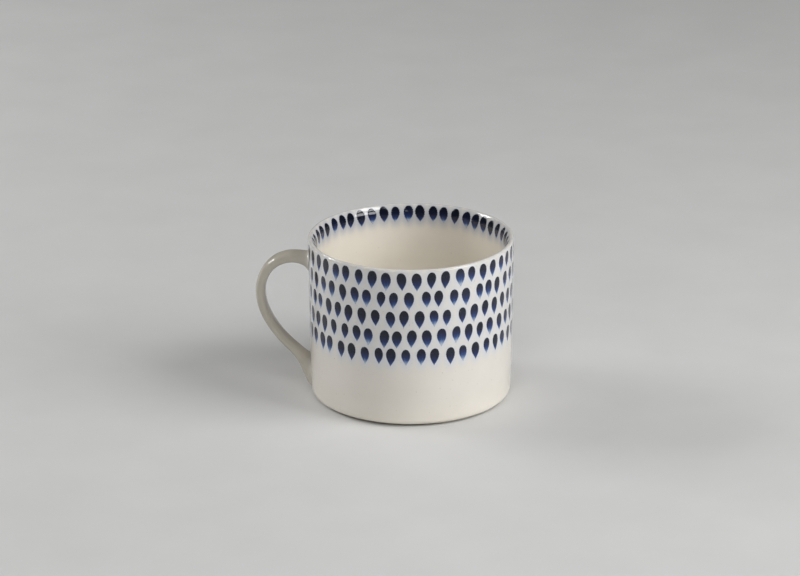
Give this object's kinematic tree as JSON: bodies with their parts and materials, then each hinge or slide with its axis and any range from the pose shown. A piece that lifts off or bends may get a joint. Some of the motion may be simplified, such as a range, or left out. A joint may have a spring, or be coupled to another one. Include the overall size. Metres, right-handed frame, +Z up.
{
  "type": "stoneware mug",
  "caption": "Straight-sided stoneware mug with a looped strap handle, pale glaze, staggered rows of painted blue drops and a bare foot ring.",
  "frame": {"origin": "middle of the foot ring's resting plane, on the cup's axis", "axes": "+Z up along the cup's axis, the handle reaches out along -X, Y across the handle"},
  "size_m": [0.1135, 0.0902, 0.0727],
  "materials": {
    "bare_stoneware": "unglazed, fired",
    "stoneware_slip": "fired slip",
    "cream_glaze": "glossy",
    "cobalt_drops": "glossy cobalt"
  },
  "bodies": {
    "root": {"cup_body": "bare_stoneware", "handle": "bare_stoneware", "upper_slip_joint": "stoneware_slip", "lower_slip_joint": "stoneware_slip", "cup_glaze": "cream_glaze", "handle_glaze": "cream_glaze", "outside_drops_row_1": "cobalt_drops", "outside_drops_row_2": "cobalt_drops", "outside_drops_row_3": "cobalt_drops", "outside_drops_row_4": "cobalt_drops", "outside_drops_row_5": "cobalt_drops", "inside_drops_row": "cobalt_drops"}
  },
  "joints": []
}
